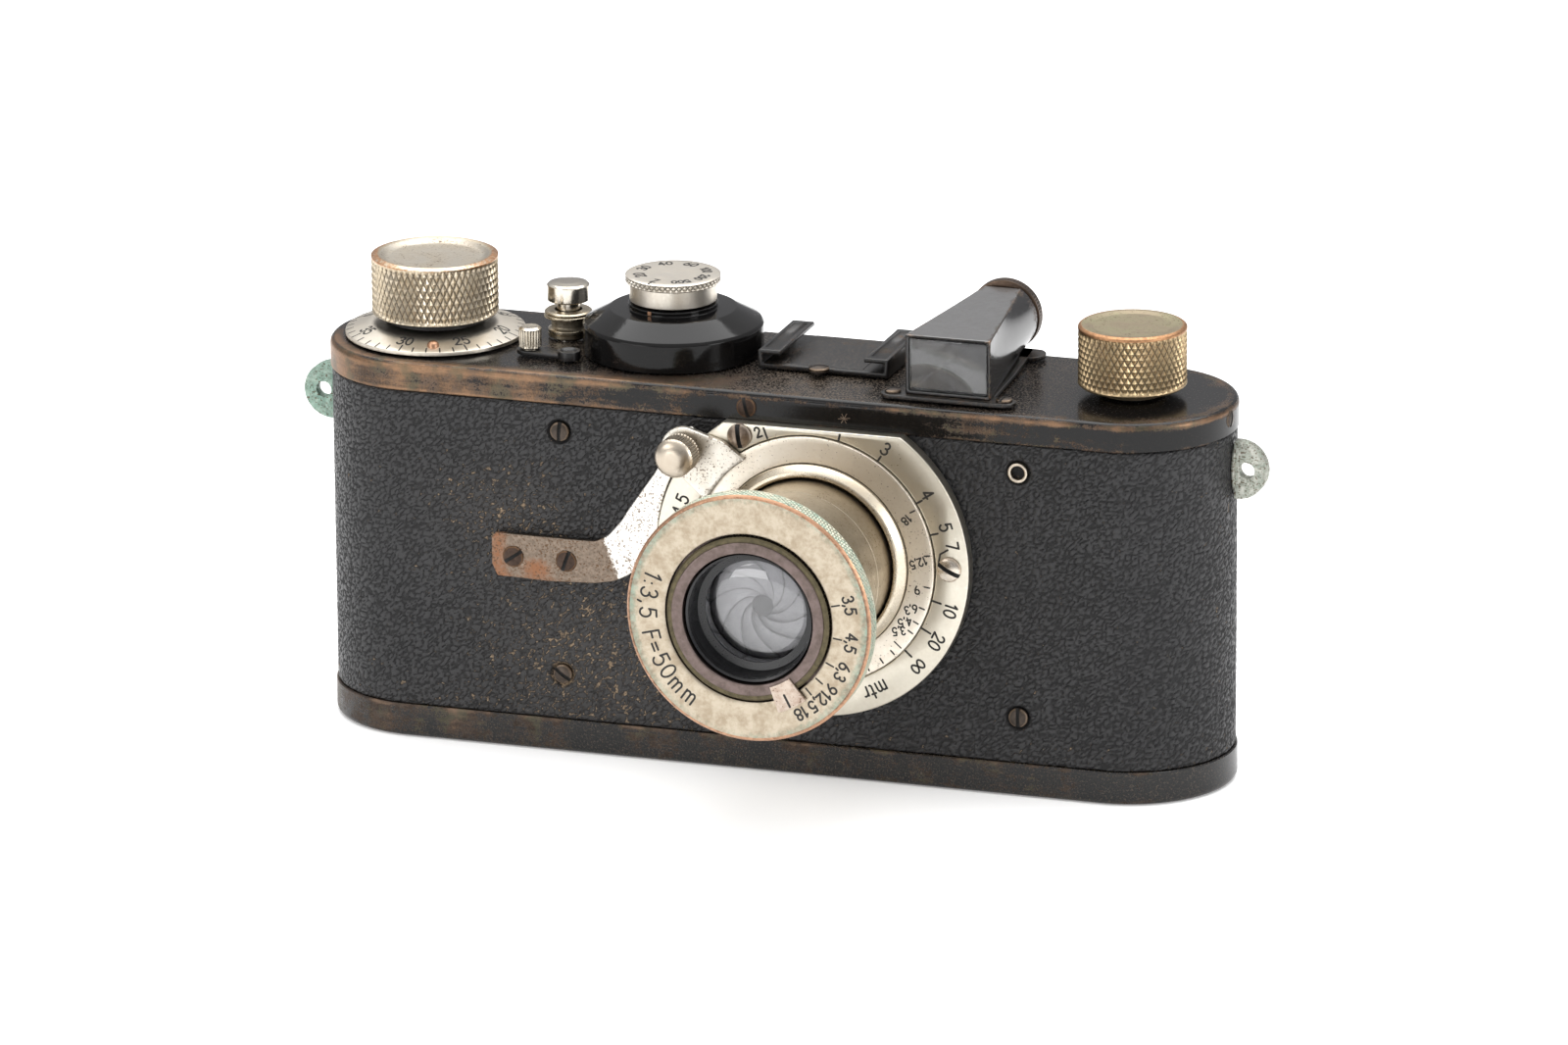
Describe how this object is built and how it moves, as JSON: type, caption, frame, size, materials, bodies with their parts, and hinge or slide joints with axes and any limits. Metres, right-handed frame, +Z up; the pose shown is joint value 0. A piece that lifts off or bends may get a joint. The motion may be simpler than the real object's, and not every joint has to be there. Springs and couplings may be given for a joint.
{
  "type": "viewfinder camera",
  "caption": "Early 35 mm viewfinder camera with a collapsible lens, winding and rewind knobs, an accessory shoe and a removable base.",
  "frame": {"origin": "centre of the underside, where the camera rests", "axes": "+Z up, the lens points along -Y, +X is on the right seen from the front, along the body's length"},
  "size_m": [0.1426, 0.063, 0.0674],
  "materials": {
    "black_paint": "worn gloss black paint",
    "brassed_paint": "black paint worn through to brass at the edges",
    "leather": "pebbled black covering",
    "nickel": "satin warm nickel plate",
    "worn_nickel": "nickel plate worn to brass and copper",
    "brass": "dull brass",
    "dark_steel": "dark tarnished steel",
    "steel": "plain machined steel",
    "pitted_nickel": "pitted nickel with green tarnish",
    "black_metal": "matt black lacquer",
    "glass": "polished optical glass",
    "cloth": "rubberised black cloth"
  },
  "bodies": {
    "body": {"body_shell": "brass", "leather_cover": "leather", "top_plate": "black_paint", "lens_flange": "nickel", "infinity_catch": "worn_nickel", "catch_screw_outer": "dark_steel", "catch_screw_inner": "dark_steel", "flange_screw_top": "dark_steel", "flange_screw_right": "dark_steel", "flange_screw_bottom": "dark_steel", "body_screw_upper_left": "dark_steel", "body_screw_lower_left": "dark_steel", "body_screw_lower_right": "dark_steel", "test_bush": "nickel", "top_screw_front": "dark_steel", "strap_lug_left": "pitted_nickel", "strap_lug_right": "pitted_nickel", "shutter_dial_base": "black_paint", "release_collar": "nickel", "accessory_shoe": "black_paint", "shoe_screw": "dark_steel", "viewfinder_body": "brassed_paint", "viewfinder_front_lens": "glass", "eyepiece_ring": "brassed_paint", "eyepiece_lens": "glass", "finder_screw_left": "dark_steel", "finder_screw_right": "dark_steel", "shutter_crate": "steel", "shutter_curtain": "cloth", "pressure_plate": "black_metal", "curtain_roller": "brass"},
    "winding": {"wind_knob": "worn_nickel", "wind_shaft": "steel", "wind_gear": "brass", "take_up_spool": "brass"},
    "counter": {"counter_dial": "nickel"},
    "sprocket": {"film_sprocket": "steel", "sprocket_gear": "brass"},
    "drum": {"shutter_drum": "steel"},
    "dial": {"speed_dial": "nickel"},
    "release": {"release_button": "nickel"},
    "reversing": {"reversing_lever": "nickel"},
    "rewind": {"rewind_knob": "brass", "rewind_fork": "steel"},
    "helicoid": {"helicoid_sleeve": "brass"},
    "focus": {"focus_ring": "nickel", "mount_collar": "nickel"},
    "infinity_lock": {"infinity_knob": "nickel"},
    "lens": {"lens_tube": "nickel", "front_ring": "worn_nickel", "lens_cell": "black_metal", "front_element": "glass", "iris_diaphragm": "dark_steel", "middle_element": "glass", "rear_doublet": "glass"},
    "aperture": {"aperture_ring": "dark_steel"},
    "base": {"base_plate": "brassed_paint", "tripod_bush": "nickel"},
    "base_lock": {"base_lock_key": "nickel"},
    "base_bail": {"base_lock_bail": "nickel"}
  },
  "joints": [
    {"name": "wind_turn", "type": "hinge", "parent": "body", "child": "winding", "pos_m": [-0.0515, 0, 0.06], "axis": [0, 0, -1], "continuous": true},
    {"name": "counter_turn", "type": "hinge", "parent": "body", "child": "counter", "pos_m": [-0.0515, 0, 0.056], "axis": [0, 0, 1], "continuous": true},
    {"name": "sprocket_turn", "type": "hinge", "parent": "body", "child": "sprocket", "pos_m": [-0.0329, 0.004, 0.03], "axis": [0, 0, 1], "continuous": true},
    {"name": "drum_turn", "type": "hinge", "parent": "body", "child": "drum", "pos_m": [-0.0164, 0.0017, 0.03], "axis": [0, 0, 1], "continuous": true},
    {"name": "dial_lift", "type": "slide", "parent": "drum", "child": "dial", "axis": [0, 0, 1], "range_m": [0, 0.0015], "stiffness_N_per_m": 400, "springref_m": -0.0005},
    {"name": "release_press", "type": "slide", "parent": "body", "child": "release", "axis": [0, 0, -1], "range_m": [0, 0.0012], "stiffness_N_per_m": 600, "springref_m": -0.0005},
    {"name": "reversing_turn", "type": "hinge", "parent": "body", "child": "reversing", "pos_m": [-0.0288, -0.0076, 0.0562], "axis": [0, 0, -1], "range_deg": [0, 40]},
    {"name": "rewind_turn", "type": "hinge", "parent": "body", "child": "rewind", "pos_m": [0.0516, 0, 0.06], "axis": [0, 0, -1], "continuous": true},
    {"name": "focus_turn", "type": "hinge", "parent": "body", "child": "helicoid", "pos_m": [0.01026, -0.014, 0.03268], "axis": [0, -1, 0], "range_deg": [0, 308]},
    {"name": "focus_advance", "type": "slide", "parent": "helicoid", "child": "focus", "axis": [0, -1, 0], "range_m": [0, 0.00264]},
    {"name": "infinity_press", "type": "slide", "parent": "focus", "child": "infinity_lock", "axis": [0, 1, 0], "range_m": [0, 0.0007], "stiffness_N_per_m": 500, "springref_m": -0.0005},
    {"name": "lens_collapse", "type": "slide", "parent": "focus", "child": "lens", "axis": [0, 1, 0], "range_m": [0, 0.0205]},
    {"name": "aperture_turn", "type": "hinge", "parent": "lens", "child": "aperture", "pos_m": [0.01026, -0.0455, 0.03268], "axis": [0, -1, 0], "range_deg": [0, 74]},
    {"name": "base_plate_off", "type": "slide", "parent": "body", "child": "base", "axis": [0, 0, -1], "range_m": [0, 0.03]},
    {"name": "base_key_turn", "type": "hinge", "parent": "base", "child": "base_lock", "pos_m": [0.0515, 0, 0.001], "axis": [0, 0, 1], "range_deg": [0, 180]},
    {"name": "base_bail_fold", "type": "hinge", "parent": "base_lock", "child": "base_bail", "pos_m": [0.0515, 0, 0.00045], "axis": [1, 0, 0], "range_deg": [0, 90]}
  ],
  "couplings": [
    {"joint": "sprocket_turn", "follows": "wind_turn", "ratio": 1.3333},
    {"joint": "counter_turn", "follows": "wind_turn", "ratio": 0.033333},
    {"joint": "drum_turn", "follows": "wind_turn", "ratio": 1.1667},
    {"joint": "focus_advance", "follows": "focus_turn", "m_per_rad": 0.00048925}
  ]
}
